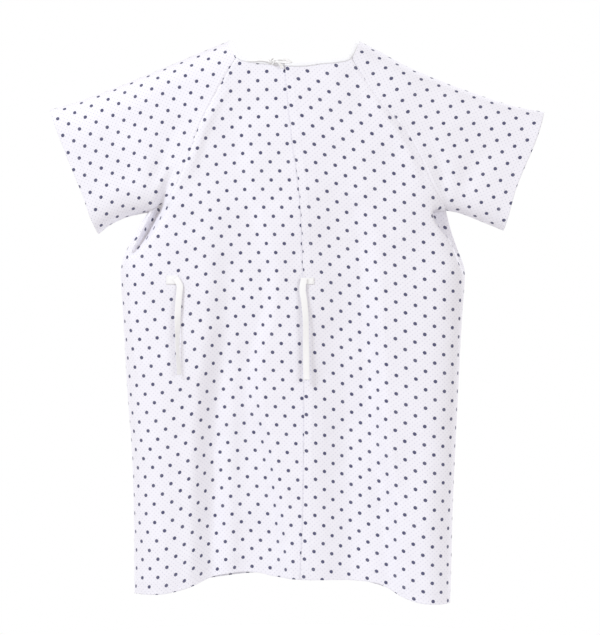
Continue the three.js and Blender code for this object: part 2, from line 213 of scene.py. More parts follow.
def spaced(line, count):
    """The line again, as count points evenly spaced along it."""
    reach = reach_of(line)
    return sample(line, reach, np.linspace(0, reach[-1], count))


def curve(points, count=60):
    """A smooth curve through the points, as count points evenly spaced along it."""
    p = np.array(points, float)
    p = np.vstack([2 * p[0] - p[1], p, 2 * p[-1] - p[-2]])
    u = np.linspace(0, 1, 24, endpoint=False)[:, None]
    fine = [
        0.5 * (2 * b + (c - a) * u + (2 * a - 5 * b + 4 * c - d) * u**2 + (3 * b - a - 3 * c + d) * u**3)
        for a, b, c, d in zip(p[:-3], p[1:-2], p[2:-1], p[3:])
    ]
    return spaced(np.vstack([*fine, p[-2:-1]]), count)


def spread(values, share):
    """Values that are even along something, at those shares of it."""
    return np.interp(share, np.linspace(0, 1, len(values)), values)


def along(line, share):
    """The points of a line at those shares of its points."""
    return sample(line, np.linspace(0, 1, len(line)), share)


def x_of(line, z):
    """Where a line that runs down is, at those heights."""
    return np.interp(-z, -line[:, 1], line[:, 0])


def share_of(pairs, z):
    """A share given at some distances below the neck corners, at those heights."""
    return np.interp(-z, *zip(*pairs))


def near(x, z, line):
    """How far each point is from a line, and the share of the line's length where it is nearest."""
    best, share = np.full(x.shape, np.inf), np.zeros(x.shape)
    for i, (a, b) in enumerate(zip(line[:-1], line[1:])):
        dx, dz = b - a
        t = np.clip(((x - a[0]) * dx + (z - a[1]) * dz) / (dx * dx + dz * dz), 0, 1)
        far = np.hypot(x - a[0] - t * dx, z - a[1] - t * dz)
        closer = far < best
        best, share = np.where(closer, far, best), np.where(closer, (i + t) / (len(line) - 1), share)
    return best, share


OUTLINE = {
    side: {
        "top": curve(TOP[side]),
        "under": curve(UNDER[side], 30),
        "side": curve(SIDE[side], 90),
        "cuff": curve(CUFF[side], 40),
        BACK: curve(BACK_RAGLAN[side]),
        FRONT: curve(FRONT_RAGLAN[side]),
    }
    for side in (RIGHT, LEFT)
}


def to_fold(x, z):
    """How far each point is from the nearest fold of the outline: shoulder, underarm or side."""
    far = {}
    for side in (RIGHT, LEFT):
        lines = [OUTLINE[side][name] for name in ("top", "under", "side")]
        far[side] = np.min([near(x * side, z, line)[0] for line in lines], axis=0)
    return np.where(x >= 0, far[RIGHT], far[LEFT])


def rounded(inside):
    """The share of its full depth that the cloth has reached, from a fold inwards."""
    t = np.clip(inside / EDGE_RADIUS, 0, 1)
    return (1 - (1 - t) ** ROUNDNESS) ** (1 / ROUNDNESS)


def folds(x, z, lines):
    height = np.zeros(x.shape)
    for points, widths, heights in lines:
        far, share = near(x, z, curve(points, 22))
        height += spread(heights, share) * np.exp(-((far / spread(widths, share)) ** 2))
    return height


def tucked(x, z):
    """The share of depth lost in the tuck below the right underarm."""
    inside = smooth(-3, 3, x - x_of(curve(TUCK), z)) * smooth(-3, 2, x_of(OUTLINE[RIGHT]["side"], z) + 2 - x)
    return share_of(TUCK_SHARE, z) * inside * smooth(-3, 3, TUCK_TOP - z)


def back_lost(x, z):
    """The share of depth lost across the back: a wide valley with a low crest in its middle, and the tuck."""
    def right_of(points, slope):
        return smooth(-slope, slope, x - x_of(curve(points, 80), z))

    def left_of(points, slope):
        return smooth(-slope, slope, x_of(curve(points, 80), z) - x)

    lost = mix(share_of(LOST_LEFT, z), share_of(LOST_RIGHT, z), smooth(*LOST_MIDDLE, x))
    valley = lost * right_of(VALLEY_LEFT, VALLEY_LEFT_SLOPE) * left_of(VALLEY_RIGHT, VALLEY_RIGHT_SLOPE)
    crest = right_of(CREST_LEFT, CREST_LEFT_SLOPE) * left_of(CREST_RIGHT, CREST_RIGHT_SLOPE)
    return valley - share_of(CREST_SHARE, z) * crest + tucked(x, z)


def front_lost(x, z):
    """The share of depth lost beside the lines that the front drops at."""
    lost = np.zeros(x.shape)
    for points, lower, half_width, shares in FRONT_STEPS:
        share = np.interp(-z, [-height for _, height in points], shares)
        lost += share * smooth(-half_width, half_width, lower * (x - x_of(curve(points), z)))
    return lost


def crumple(x, z, face):
    """Shallow uneven waves, as washed cloth has: their turns across and down, and their heights."""
    waves = [(0.021, 0.033, 0.9), (-0.034, 0.027, 0.6), (0.052, -0.019, 0.45), (0.013, 0.071, 0.4),
             (0.083, 0.041, 0.22), (-0.061, 0.088, 0.2)]
    return sum(size * np.sin(kx * x + kz * z + 1.7 * n + 2.1 * face)
               for n, (kx, kz, size) in enumerate(waves))


def pinch(x, z, face):
    """Cloth dips into the raglan seams, and puckers a little beside them."""
    dip = np.zeros(x.shape)
    for side in (RIGHT, LEFT):
        far, share = near(x * side, z, OUTLINE[side][face])
        pucker = 0.3 * np.sin(150 * share) * np.exp(-far / 9)
        ridge = 0.55 * np.exp(-(((far - 4.5) / 3.5) ** 2)) * (1 - np.exp(-far))
        dip += pucker + ridge - 0.6 * np.exp(-far / 1.5)
    return dip


def surface(x, z, face, stand=0.0, least=0.0):
    """Points of the gown's middle surface over x, z, as an array that ends in x, y, z."""
    inside = to_fold(x, z)
    full = mix(BACK_DEPTH if face == BACK else FRONT_DEPTH, CUFF_DEPTH, smooth(150, 514, np.abs(x)))
    relief = (folds(x, z, FOLDS[face]) + crumple(x, z, face)) * np.clip(inside / 14, 0, 1) + pinch(x, z, face)
    lost = back_lost(x, z) if face == BACK else front_lost(x, z)
    curl = HEM_CURL * np.clip((HEM_CURL_FROM - z) / HEM_CURL_LENGTH, 0, 1) ** 2
    level = (full - curl) * rounded(inside) * (1 - lost)
    depth = np.maximum(level + relief * np.clip(inside / 4, 0, 1), np.minimum(level, 2.2))
    return np.stack([x, face * np.maximum(depth + stand, least), z], axis=-1)


def lifted(x):
    """How far the outer back panel stands off the inner one."""
    return LIFT * (1 - smooth(*LIFT_ENDS, x))


# Meshes. A grid is an array of rows by columns of points.
def normals(grid, wrap=False):
    across = np.roll(grid, -1, 1) - np.roll(grid, 1, 1) if wrap else np.gradient(grid, axis=1)
    normal = unit(np.cross(across, np.gradient(grid, axis=0)))
    return normal if np.sum(normal[..., 1] * grid[..., 1]) > 0 else -normal


def mesh(name, points, faces, materials, uv=None, slots=None, smooth_to=None):
    """A mesh object from points in millimetres, with a UV map of the flat cut in metres."""
    data = bpy.data.meshes.new(name)
    sizes = np.array([len(face) for face in faces])
    corners = np.concatenate(faces) if isinstance(faces, list) else faces.reshape(-1)
    data.vertices.add(len(points))
    data.vertices.foreach_set("co", (np.asarray(points) * MM).astype(np.float32).ravel())
    data.loops.add(len(corners))
    data.loops.foreach_set("vertex_index", corners.astype(np.int32))
    data.polygons.add(len(sizes))
    data.polygons.foreach_set("loop_start", np.concatenate([[0], np.cumsum(sizes)[:-1]]).astype(np.int32))
    shade = np.ones(len(sizes), bool)
    if smooth_to is not None:
        shade[smooth_to:] = False
    data.polygons.foreach_set("use_smooth", shade)
    if slots is not None:
        data.polygons.foreach_set("material_index", slots.astype(np.int32))
    if uv is not None:
        data.uv_layers.new(name="cut").data.foreach_set("uv", (uv * MM).astype(np.float32).ravel())
    for material in materials:
        data.materials.append(material)
    data.update(calc_edges=True)
    data.validate()
    piece = bpy.data.objects.new(name, data)
    bpy.context.scene.collection.objects.link(piece)
    return piece


def shell(name, grid, cut, materials, thickness=CLOTH, wrap=False):
    """Cloth of that thickness about a grid, closed all round. cut holds each point's place in the cut."""
    rows, cols = grid.shape[:2]
    normal = normals(grid, wrap)
    points = np.concatenate([(grid + normal * thickness / 2).reshape(-1, 3),
                             (grid - normal * thickness / 2).reshape(-1, 3)])
    across = np.cross(grid[1, 1] - grid[1, 0], grid[1, 0] - grid[0, 0]) @ normal[1, 1] > 0
    last = cols if wrap else cols - 1
    r, c = np.meshgrid(np.arange(rows - 1), np.arange(last), indexing="ij")
    r, c = r.ravel(), c.ravel()
    at = lambda corner: corner[0] * cols + corner[1] % cols
    corners = [(r, c), (r, c + 1), (r + 1, c + 1), (r + 1, c)]
    outer = np.stack([at(corner) for corner in corners], axis=1)
    outer_uv = np.stack([cut[corner] for corner in corners], axis=1)
    inner, inner_uv = outer[:, ::-1] + rows * cols, outer_uv[:, ::-1]
    rims, rim_uv = [], []
    edge, down = np.arange(last), np.arange(rows - 1)
    top, bottom, right = 0 * edge, 0 * edge + rows - 1, 0 * down + cols - 1
    borders = [((top, edge + 1), (top, edge)), ((bottom, edge), (bottom, edge + 1))]
    if not wrap:
        borders += [((down, 0 * down), (down + 1, 0 * down)), ((down + 1, right), (down, right))]
    for a, b in borders:
        rims.append(np.stack([at(a), at(b), at(b) + rows * cols, at(a) + rows * cols], axis=1))
        rim_uv.append(np.stack([cut[a], cut[b], cut[b], cut[a]], axis=1))
    faces = np.concatenate([outer, inner, *rims])
    uv = np.concatenate([outer_uv, inner_uv, *rim_uv])
    if not across:
        faces, uv = faces[:, ::-1], uv[:, ::-1]
    slots = np.zeros(len(faces), int)
    slots[len(outer):len(outer) + len(inner)] = 1 if len(materials) > 1 else 0
    return mesh(name, points, faces, materials, uv.reshape(-1, 2), slots, len(outer) + len(inner))


def lengths(grid, axis):
    """How far along the cloth each grid point is, down its column or along its row."""
    step = np.linalg.norm(np.diff(grid, axis=axis), axis=2)
    start = np.zeros_like(step[:1] if axis == 0 else step[:, :1])
    return np.concatenate([start, np.cumsum(step, axis=axis)], axis=axis)


def inset(grid, distances, out, from_end=False, wrap=False):
    """A new grid beside the edge of another: those distances from its first or last row, out from it."""
    normal = normals(grid, wrap)
    if from_end:
        grid, normal = grid[::-1], normal[::-1]
    reach = lengths(grid, 0)
    found = np.zeros((len(distances), grid.shape[1], 3))
    for c in range(grid.shape[1]):
        for k in range(3):
            found[:, c, k] = np.interp(distances, reach[:, c], grid[:, c, k] + out * normal[:, c, k])
    return found


def plain_cut(grid):
    """The flat cut of a narrow strip: its length along its rows, and its width."""
    return np.stack([lengths(grid, 1), lengths(grid, 0)], axis=-1)


def sweep(name, rings, place, material, close=False):
    """A closed form through rings of points. place gives the flat cut for a ring's number and a point's."""
    count, around = rings.shape[:2]
    rows = count if close else count - 1
    r, k = (a.ravel() for a in np.meshgrid(np.arange(rows), np.arange(around), indexing="ij"))
    corners = [(r, k), (r, k + 1), (r + 1, k + 1), (r + 1, k)]
    faces = list(np.stack([row % count * around + col % around for row, col in corners], axis=1))
    uv = np.stack([np.stack(place(row, col), axis=-1) for row, col in corners], axis=1).reshape(-1, 2)
    if not close:
        faces += [np.arange(around)[::-1], np.arange(around) + (count - 1) * around]
        uv = np.concatenate([uv, np.zeros((2 * around, 2))])
    piece = mesh(name, rings.reshape(-1, 3), faces, [material], uv)
    repair = bmesh.new()
    repair.from_mesh(piece.data)
    bmesh.ops.recalc_face_normals(repair, faces=repair.faces)
    repair.to_mesh(piece.data)
    repair.free()
    return piece


def tube(name, line, sides, wide, thick, close=False):
    """A flat tape along a line: sides are vectors across it, wide and thick are half its measures."""
    around, squareness = 16, 0.42
    tangent = unit(np.roll(line, -1, 0) - np.roll(line, 1, 0) if close else np.gradient(line, axis=0))
    sides = unit(sides - tangent * np.sum(sides * tangent, axis=1, keepdims=True))
    up = np.cross(tangent, sides)
    turn = np.linspace(0, 2 * np.pi, around, endpoint=False)
    out, over = (np.sign(wave) * np.abs(wave) ** squareness for wave in (np.cos(turn), np.sin(turn)))
    wide = np.broadcast_to(wide, len(line))[:, None, None]
    rings = line[:, None] + wide * out[:, None] * sides[:, None] + thick * over[:, None] * up[:, None]
    reach = reach_of(line)
    reach = np.append(reach, reach[-1] + 1)
    width = np.max(wide)
    return sweep(name, rings, lambda row, col: (reach[row], width * np.cos(2 * np.pi * col / around)),
                 TAPE_LOOK, close)


def stitches(name, line, up, pitch=2.6, length=1.9, radius=0.24):
    """A row of machine stitches: short rounded threads along a line, lying on the cloth."""
    reach = reach_of(line)
    at = np.arange(pitch / 2, reach[-1], pitch)
    middle = sample(line, reach, at)
    ahead = unit(sample(line, reach, at + length / 2) - middle)
    aside = unit(np.cross(ahead, sample(up, reach, at)))
    lift = np.cross(aside, ahead)
    shares = [(-1.0, 0.25), (-0.7, 0.85), (0.0, 1.0), (0.7, 0.85), (1.0, 0.25)]
    sides = 6
    turn = np.linspace(0, 2 * np.pi, sides, endpoint=False)
    ring = np.array([[(share * length / 2, fat * radius * math.cos(t), fat * radius * math.sin(t))
                      for t in turn]
                     for share, fat in shares]).reshape(-1, 3)
    points = (middle[:, None] + ring[None, :, :1] * ahead[:, None] + ring[None, :, 1:2] * aside[:, None]
              + ring[None, :, 2:] * lift[:, None])
    one = [[a * sides + k, a * sides + (k + 1) % sides,
            (a + 1) * sides + (k + 1) % sides, (a + 1) * sides + k]
           for a in range(len(shares) - 1) for k in range(sides)]
    caps = [list(range(sides))[::-1], [(len(shares) - 1) * sides + k for k in range(sides)]]
    faces = [np.array(face) + n * len(ring) for n in range(len(middle)) for face in one + caps]
    return mesh(name, points.reshape(-1, 3), faces, [THREAD_LOOK])


# Materials.
class Nodes:
    """Writes a material's nodes as expressions."""

    def __init__(self, name):
        self.material = bpy.data.materials.new(name)
        self.material.use_nodes = True
        self.tree = self.material.node_tree
        self.shader = self.tree.nodes["Principled BSDF"]

    def new(self, kind, **settings):
        node = self.tree.nodes.new(kind)
        for key, value in settings.items():
            setattr(node, key, value)
        return node

    def put(self, socket, value):
        if isinstance(value, bpy.types.NodeSocket):
            self.tree.links.new(value, socket)
        else:
            socket.default_value = value

    def math(self, operation, *values):
        node = self.new("ShaderNodeMath", operation=operation)
        for socket, value in zip(node.inputs, values):
            self.put(socket, value)
        return node.outputs[0]

    def blend(self, share, a, b):
        node = self.new("ShaderNodeMix", data_type="RGBA")
        self.put(node.inputs["Factor"], share)
        self.put(node.inputs["A"], a)
        self.put(node.inputs["B"], b)
        return node.outputs["Result"]

    def noise(self, where, scale, detail=3.0, rough=0.55):
        node = self.new("ShaderNodeTexNoise")
        self.put(node.inputs["Vector"], where)
        self.put(node.inputs["Scale"], scale)
        self.put(node.inputs["Detail"], detail)
        self.put(node.inputs["Roughness"], rough)
        return node.outputs["Fac"]

    def within(self, distance, edge, soft):
        """1 where the distance is less than edge, fading to 0 over soft."""
        node = self.new("ShaderNodeMapRange", interpolation_type="SMOOTHSTEP")
        self.put(node.inputs["Value"], distance)
        self.put(node.inputs["From Min"], edge - soft)
        self.put(node.inputs["From Max"], edge + soft)
        self.put(node.inputs["To Min"], 1.0)
        self.put(node.inputs["To Max"], 0.0)
        return node.outputs["Result"]

    def cut(self):
        """The place in the flat cut, in millimetres, as two values and as a vector in metres."""
        where = self.new("ShaderNodeUVMap", uv_map="cut").outputs["UV"]
        parts = self.new("ShaderNodeSeparateXYZ")
        self.put(parts.inputs[0], where)
        across, down = (self.math("MULTIPLY", part, 1 / MM) for part in parts.outputs[:2])
        return across, down, where

    def bump(self, height, distance, strength=1.0, under=None):
        node = self.new("ShaderNodeBump")
        self.put(node.inputs["Height"], height)
        self.put(node.inputs["Distance"], distance)
        self.put(node.inputs["Strength"], strength)
        if under is not None:
            self.put(node.inputs["Normal"], under)
        return node.outputs["Normal"]


def rgb(*screen):
    """A colour given as on a screen, from 0 to 255, as the shader wants it."""
    linear = [c / 255 / 12.92 if c <= 10 else ((c / 255 + 0.055) / 1.055) ** 2.4 for c in screen]
    return (*linear, 1)


PRINT_PITCH = 26.22
MOTIF_RADIUS = 3.6
DOT_SHARE = 4  # fine dots to each flower, along the print's rows
CLOTH_WEAVE, TAPE_WEAVE = 0.62, 0.8  # the thickness of two threads


def woven(nodes, u, v, thread):
    """The height of a plain weave, from 0 to 1, over the flat cut."""
    warp = nodes.math("SINE", nodes.math("MULTIPLY", u, 2 * math.pi / thread))
    weft = nodes.math("SINE", nodes.math("MULTIPLY", v, 2 * math.pi / thread))
    return nodes.math("MULTIPLY_ADD", nodes.math("MULTIPLY", warp, weft), 0.5, 0.5)


def printed(name, ground, ink, speckle, strength):
    """Woven cloth with a print of small round flowers on a ground of fine dots."""
    nodes = Nodes(name)
    u, v, where = nodes.cut()
    diagonal = PRINT_PITCH * math.sqrt(2)
    turned = [nodes.math("DIVIDE", nodes.math(kind, u, v), diagonal) for kind in ("ADD", "SUBTRACT")]

    def cell(share):
        part = [nodes.math("MULTIPLY", value, float(share)) for value in turned]
        return [nodes.math("SUBTRACT", value, nodes.math("ROUND", value)) for value in part]

    def radius(place, pitch):
        squares = [nodes.math("MULTIPLY", value, value) for value in place]
        return nodes.math("MULTIPLY", nodes.math("SQRT", nodes.math("ADD", *squares)), pitch)

    flower = cell(1)
    far = radius(flower, PRINT_PITCH)
    angle = nodes.math("ARCTAN2", flower[0], flower[1])
    petals = nodes.math("COSINE", nodes.math("MULTIPLY", angle, 8.0))
    ragged = nodes.noise(where, 900.0, 2.0)
    reach = nodes.math("ADD", far, nodes.math("MULTIPLY", petals, -0.45))
    reach = nodes.math("ADD", reach, nodes.math("MULTIPLY_ADD", ragged, 0.9, -0.45))
    disc = nodes.within(reach, MOTIF_RADIUS, 0.3)
    ring = nodes.within(nodes.math("ABSOLUTE", nodes.math("SUBTRACT", far, 1.75)), 0.28, 0.16)
    heart = nodes.within(far, 0.8, 0.25)
    dots = nodes.within(radius(cell(DOT_SHARE), PRINT_PITCH / DOT_SHARE), 0.72, 0.22)
    dots = nodes.math("MULTIPLY", dots, nodes.math("SUBTRACT", 1.0, nodes.within(far, 5.2, 0.2)))
    worn = nodes.math("MULTIPLY_ADD", nodes.noise(where, 60.0), 0.3, strength - 0.15)
    shade = nodes.math("MULTIPLY_ADD", nodes.noise(where, 9.0, 4.0), 0.6, 0.2)
    colour = nodes.blend(shade, ground[0], ground[1])
    slub = nodes.noise(where, 420.0, 2.0)
    colour = nodes.blend(nodes.math("MULTIPLY", slub, 0.06), colour, rgb(205, 204, 212))
    colour = nodes.blend(nodes.math("MULTIPLY", dots, nodes.math("MULTIPLY", worn, 0.62)), colour, speckle)
    inked = nodes.blend(nodes.math("MULTIPLY", ring, 0.3), ink, ground[0])
    inked = nodes.blend(nodes.math("MULTIPLY", heart, 0.35), inked, speckle)
    colour = nodes.blend(nodes.math("MULTIPLY", disc, worn), colour, inked)
    nodes.put(nodes.shader.inputs["Base Color"], colour)
    weave = woven(nodes, u, v, CLOTH_WEAVE)
    rough = nodes.math("MULTIPLY_ADD", weave, 0.12, 0.78)
    nodes.put(nodes.shader.inputs["Roughness"], nodes.math("ADD", rough, nodes.math("MULTIPLY", disc, -0.05)))
    creases = nodes.bump(nodes.noise(where, 38.0, 5.0, 0.6), 0.0011, 0.5)
    fine = nodes.bump(slub, 0.00025, 0.45, creases)
    nodes.put(nodes.shader.inputs["Normal"], nodes.bump(weave, 0.00007, 0.5, fine))
    nodes.shader.inputs["Sheen Weight"].default_value = 0.18
    nodes.shader.inputs["Sheen Roughness"].default_value = 0.6
    nodes.shader.inputs["Specular IOR Level"].default_value = 0.12
    return nodes.material


def plain(name, light, dark, rib=1.1, rib_depth=0.00012):
    """Plain woven tape with ribs along its length, with painted shade darkening the grooves between the ribs.
    """
    nodes = Nodes(name)
    u, v, where = nodes.cut()
    wave = nodes.math("SINE", nodes.math("MULTIPLY", v, 2 * math.pi / rib))
    ribs = nodes.math("MULTIPLY_ADD", wave, 0.5, 0.5)
    shade = nodes.math("MULTIPLY_ADD", nodes.noise(where, 30.0, 4.0), 0.9, -0.1)
    colour = nodes.blend(shade, light, dark)
    # Painted shade: the colour darkens toward the dark tone in the grooves between the ribs, where the rib
    # bump makes hollows.
    colour = nodes.blend(nodes.math("MULTIPLY", nodes.math("SUBTRACT", 1.0, ribs), 0.12), colour, dark)
    nodes.put(nodes.shader.inputs["Base Color"], colour)
    nodes.put(nodes.shader.inputs["Roughness"], nodes.math("MULTIPLY_ADD", ribs, 0.12, 0.74))
    creases = nodes.bump(nodes.noise(where, 110.0, 4.0), 0.0007, 0.5)
    weave = nodes.math("MULTIPLY_ADD", woven(nodes, u, v, TAPE_WEAVE), 0.4, nodes.math("MULTIPLY", ribs, 0.6))
    nodes.put(nodes.shader.inputs["Normal"], nodes.bump(weave, rib_depth, 0.8, creases))
    nodes.shader.inputs["Sheen Weight"].default_value = 0.2
    nodes.shader.inputs["Sheen Roughness"].default_value = 0.55
    nodes.shader.inputs["Specular IOR Level"].default_value = 0.28
    return nodes.material


def thread(name, light, dark):
    """Twisted sewing thread."""
    nodes = Nodes(name)
    where = nodes.new("ShaderNodeTexCoord").outputs["Object"]
    twist = nodes.noise(where, 1500.0, 1.0)
    nodes.put(nodes.shader.inputs["Base Color"], nodes.blend(twist, light, dark))
    nodes.put(nodes.shader.inputs["Roughness"], nodes.math("MULTIPLY_ADD", twist, 0.2, 0.45))
    nodes.put(nodes.shader.inputs["Normal"], nodes.bump(twist, 0.0001, 0.6))
    nodes.shader.inputs["Sheen Weight"].default_value = 0.15
    return nodes.material


GROUND = (rgb(236, 235, 242), rgb(231, 229, 237))
INK = rgb(11, 19, 80)
SPECKLE = rgb(140, 138, 168)
CLOTH_LOOK = [
    printed("printed_cloth_face", GROUND, INK, SPECKLE, 0.985),
    printed("printed_cloth_reverse", GROUND, INK, SPECKLE, 0.42),
]
REVERSE_LOOK = [CLOTH_LOOK[1], CLOTH_LOOK[0]]
TAPE_LOOK = plain("plain_tape", rgb(243, 243, 244), rgb(232, 231, 231))
BINDING_LOOK = plain("binding_tape", rgb(242, 243, 247), rgb(233, 233, 236))
SEAM_LOOK = plain("overlocked_edge", rgb(232, 231, 236), rgb(212, 211, 220), 1.6, 0.0003)
THREAD_LOOK = thread("sewing_thread", rgb(238, 238, 242), rgb(214, 214, 222))


# Grids for the panels and sleeves.
def over(line, value):
    """The second value of a line where its first is the one given."""
    line = line[np.argsort(line[:, 0])]
    return np.interp(value, line[:, 0], line[:, 1])


def neck_edge(corner, points, count):
    """A neck edge, from the left raglan seam to the right one."""
    return curve([(-corner[0], corner[1]), *points, corner], count)


HEM = {BACK: curve(BACK_HEM, 200), FRONT: curve(FRONT_HEM, 200)}
BACK_NECK_LINE = neck_edge(BACK_CORNER, BACK_NECK, 80)
FRONT_NECK_LINE = neck_edge(FRONT_CORNER, FRONT_NECK, 120)
EDGE_LINE = curve(OUTER_EDGE, 120)
BACK_LENGTH, FRONT_LENGTH = 1120, 1080
QUICK = 1.0
CROWDING = 1.6  # 1 spaces a panel's columns evenly, and more brings them closer near its sides
LEAST_DEPTH = 0.15  # keeps the back and front apart at a side


def boundary(side, face, z):
    """How far out a panel reaches, over height: down the raglan seam and then the side."""
    line = np.concatenate([OUTLINE[side][face], OUTLINE[side]["side"][1:]])
    return x_of(line, z) - 0.2 * smooth(-330, -250, z)


def down_shares(length, count, armpits):
    """Shares of a panel's length, closer together near its neck edge, its armpits and its hem."""
    first = np.linspace(0, 14 / length, 9)
    last = np.linspace(1 - 30 / length, 1, 19)
    near_armpits = [armpit + np.array([-0.6, 0, 0.7, 2, 4]) / length for armpit in armpits]
    return np.sort(np.concatenate([first, np.linspace(first[-1], last[0], count)[1:-1], last, *near_armpits]))


def back_panel(side):
    """A back panel's grid, from its free edge outwards to the raglan seam and the side."""
    (corner_x, top), bottom = BACK_CORNER, SIDE[side][-1][1]
    armpit = (UNDER[side][0][1] - top) / (bottom - top)
    down = down_shares(BACK_LENGTH, int(170 * QUICK), [armpit])
    height = mix(float(top), float(bottom), down)
    rows = (height - top) / (bottom - top)

    def line(x):
        neck = over(BACK_NECK_LINE, np.clip(x, -corner_x, corner_x))
        return mix(neck, over(HEM[BACK], np.clip(x, *HEM_ENDS)), rows)

    edge = np.full(len(down), INNER_EDGE_X) if side == LEFT else x_of(EDGE_LINE, line(10.0))
    wide = np.abs(side * boundary(side, BACK, height) - edge)
    near_edge = np.array([0, 0.7, 2, 4, 6.5, 9, 12, 15, 17.5, 20, 23])
    t = np.linspace(0, 1, int(96 * QUICK))[1:]
    far = near_edge[-1] + (wide[:, None] - near_edge[-1]) * (1 - (1 - t) ** CROWDING)
    across = np.concatenate([np.broadcast_to(near_edge, (len(down), len(near_edge))), far], axis=1)
    x = edge[:, None] + side * across
    z = np.stack([line(column) for column in x.T], axis=1)
    if side == LEFT:
        return surface(x, z, BACK, 0.0, LEAST_DEPTH)
    roll = EDGE_ROLL * smooth(62, 90, -z) * (1 - smooth(0, EDGE_ROLL_WIDTH, across))
    return surface(x, z, BACK, lifted(x) - roll, LEAST_DEPTH)


def front_panel():
    """The front panel's grid, from the left side to the right."""
    corner_x, top = FRONT_CORNER
    bottom = {side: SIDE[side][-1][1] for side in (LEFT, RIGHT)}
    armpits = [(UNDER[side][0][1] - top) / (bottom[side] - top) for side in bottom]
    down = down_shares(FRONT_LENGTH, int(165 * QUICK), armpits)
    reach = {side: side * boundary(side, FRONT, mix(float(top), float(bottom[side]), down))
             for side in bottom}
    t = np.linspace(0, 1, int(90 * QUICK))
    half = 0.5 - 0.5 * (1 - t) ** CROWDING
    across = np.concatenate([0.5 - half[::-1], 0.5 + half[1:]])
    x = mix(reach[LEFT][:, None], reach[RIGHT][:, None], across)
    neck = over(FRONT_NECK_LINE, np.clip(x, -corner_x, corner_x))
    z = mix(neck, over(HEM[FRONT], np.clip(x, *HEM_ENDS)), down[:, None])
    return surface(x, z, FRONT, 0.0, LEAST_DEPTH)


NECK_COLUMNS = 10  # of each half of a sleeve, along its neck edge

# The directions of the sleeves' print, in degrees, along its rows and down its columns, and its scale.
SLEEVE_PRINT = {LEFT: (19.5, 17.5, 1.0), RIGHT: (14.5, 22.5, 1.045)}


def hidden_length(grid, signed=False):
    """How much longer the cloth is along each row than it looks from straight behind."""
    step = np.diff(grid, axis=1)
    extra = np.linalg.norm(step, axis=2) - np.linalg.norm(step[..., [0, 2]], axis=2)
    if signed:
        extra = extra * np.sign(step[..., 0])
    return np.concatenate([np.zeros((len(grid), 1)), np.cumsum(extra, axis=1)], axis=1)


def sleeve(side):
    """A sleeve's grid, round from the underarm by its front and its top to its back, and its flat cut."""
    neck_share = 0.11
    t = np.linspace(0, 1, int(58 * QUICK))[1:]
    shares = np.concatenate([neck_share * np.linspace(0, 1, NECK_COLUMNS + 1) ** 2,
                             neck_share + (1 - neck_share) * (1 - (1 - t) ** 1.7)])
    v = np.concatenate([np.linspace(0, 0.04, 8), np.linspace(0.04, 0.8, int(78 * QUICK))[1:-1],
                        np.linspace(0.8, 1, 34)])
    top, under = along(OUTLINE[side]["top"], v), along(OUTLINE[side]["under"], v)
    cuff = along(OUTLINE[side]["cuff"][::-1], shares)
    rows, columns, scale = SLEEVE_PRINT[side]
    rows, columns = math.radians(rows), math.radians(columns)
    axes = np.array([[math.cos(rows), -math.sin(rows)], [-math.sin(columns), -math.cos(columns)]])
    halves, cuts = {}, {}
    for face in (FRONT, BACK):
        raglan = OUTLINE[side][face]
        neck = mix(top[0], raglan[0], (shares[:NECK_COLUMNS + 1] / neck_share)[:, None])
        down = (shares[NECK_COLUMNS + 1:] - neck_share) / (1 - neck_share)
        start = np.concatenate([neck, along(raglan, down)])
        a, b = shares[None, :, None], v[:, None, None]
        flat = (mix(top[:, None], under[:, None], a) + mix(start[None], cuff[None], b)
                - mix(mix(top[0], under[0], a), mix(top[-1], under[-1], a), b))
        halves[face] = surface(side * flat[..., 0], flat[..., 1], face)
        place = (flat - top[0]) @ np.linalg.inv(axes)
        place[..., 1] += hidden_length(halves[face])
        if face == FRONT:
            place[..., 1] = 2 * place[:, :1, 1] - place[..., 1]
        cuts[face] = np.stack([side * place[..., 0], place[..., 1]], axis=-1) / scale
    grid = np.concatenate([halves[FRONT][:, ::-1], halves[BACK][:, 1:-1]], axis=1)
    cut = np.concatenate([cuts[FRONT][:, ::-1], cuts[BACK][:, 1:]], axis=1)
    return grid, cut


def panel_cut(grid, column=0):
    """A panel's flat cut: its width and height as seen, and what its curve over the sides adds."""
    extra = hidden_length(grid, True)
    return np.stack([grid[..., 0] + extra - extra[:, column:column + 1], grid[..., 2]], axis=-1)


def print_cut(grid, side):
    """A back panel's flat cut, as its print shows it to lie: each panel hangs a little askew."""
    across, x, z = panel_cut(grid)[..., 0], grid[..., 0], grid[..., 2]
    top, bottom = (over(curve(points, 80), x) for points in PRINT_ROWS[side])
    start, end = -50.0, -1112.0 if side == LEFT else -1121.0
    share = (z - start - top) / (end - start + bottom - top)
    below = np.clip(-z / BACK_LENGTH, 0, 1)
    if side == LEFT:
        across = across - 62 * np.clip(below - 0.12, 0, 1)
    else:
        across = across / 1.08 - BACK_LENGTH * (0.105 * below - 0.072 * below**2)
        across += 0.045 * smooth(0.2, 0.4, below) * np.clip(x - 15, 0, 150)
    return np.stack([across, share * (end - start)], axis=-1)


def finished(piece, body, nodes):
    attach(piece, body)
    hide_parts(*nodes)
    return piece


def bent(piece, nodes=()):
    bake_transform(piece)
    if nodes:
        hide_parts(*nodes)
    return piece


def under_cloth(grid, wrap=False, thickness=CLOTH):
    """The grid of a second layer that lies on the inside of the cloth."""
    return grid - normals(grid, wrap) * (CLOTH / 2 + LINING_GAP + thickness / 2)


# The cloth of the gown.
BACK_GRID = {side: back_panel(side) for side in (LEFT, RIGHT)}
FRONT_GRID = front_panel()
SLEEVE_GRID, SLEEVE_CUT = {}, {}
for side in (LEFT, RIGHT):
    SLEEVE_GRID[side], SLEEVE_CUT[side] = sleeve(side)

FACING_COLUMNS, FACING_STITCH = 10, 8  # the columns of a back panel's grid that its facing covers
FACING_ROWS = slice(6, -17)
HEM_STEPS = np.linspace(0, HEM_DEPTH, 13)


